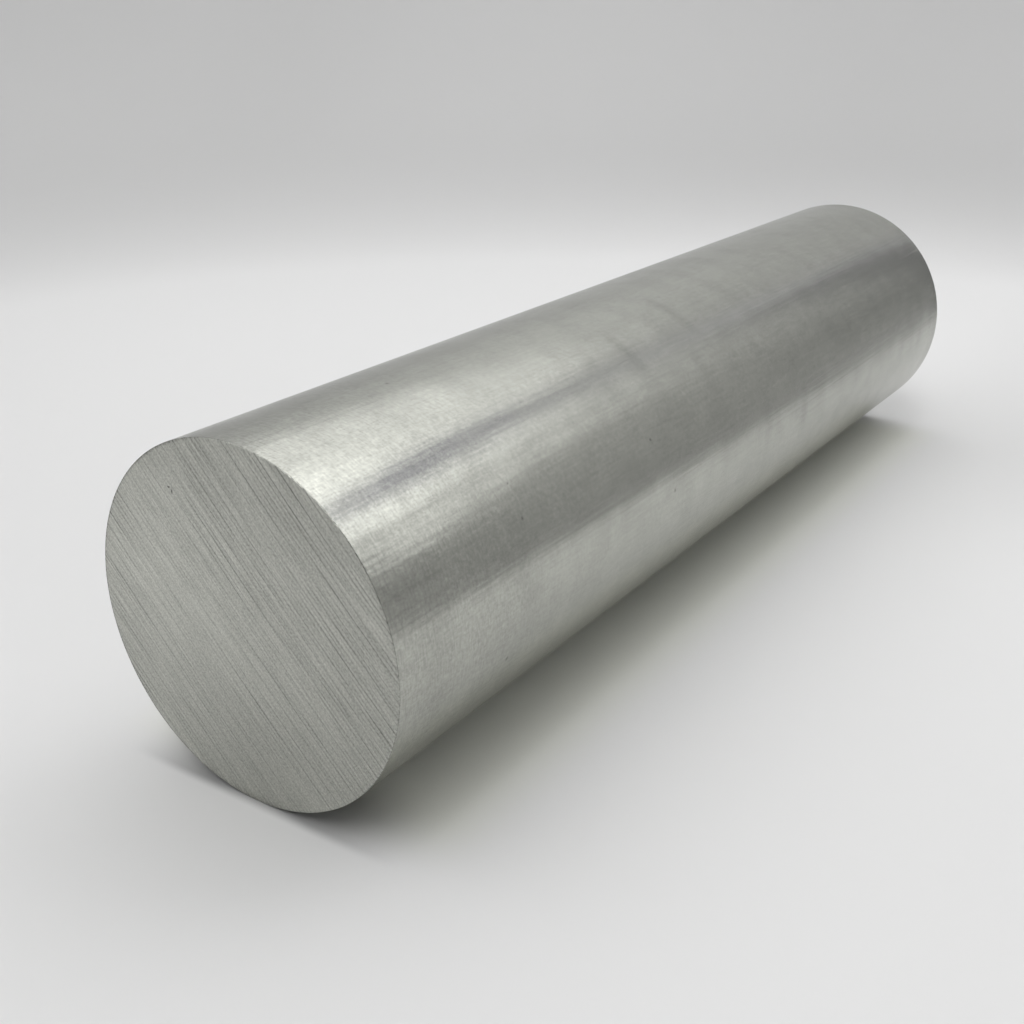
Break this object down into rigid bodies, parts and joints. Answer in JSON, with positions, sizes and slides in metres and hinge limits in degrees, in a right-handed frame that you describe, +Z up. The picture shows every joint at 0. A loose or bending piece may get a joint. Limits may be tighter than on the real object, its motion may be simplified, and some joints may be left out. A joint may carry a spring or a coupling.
{
  "type": "round metal bar",
  "caption": "Solid round bar of plain aluminium stock with two square sawn ends, lying on its side, for cutting, turning or building with.",
  "frame": {"origin": "on the line where the bar touches the surface it lies on, half way along its length (centre of the bounding box's base)", "axes": "+Y along the bar's axis towards its rear end, so the front sawn end faces -Y; +Z up; +X across the bar"},
  "size_m": [0.0762, 0.3048, 0.0762],
  "materials": {
    "bar_metal": "plain mill finish with fine lengthwise streaks; ends left as sawn"
  },
  "bodies": {
    "root": {"round_bar": "bar_metal"}
  },
  "joints": []
}
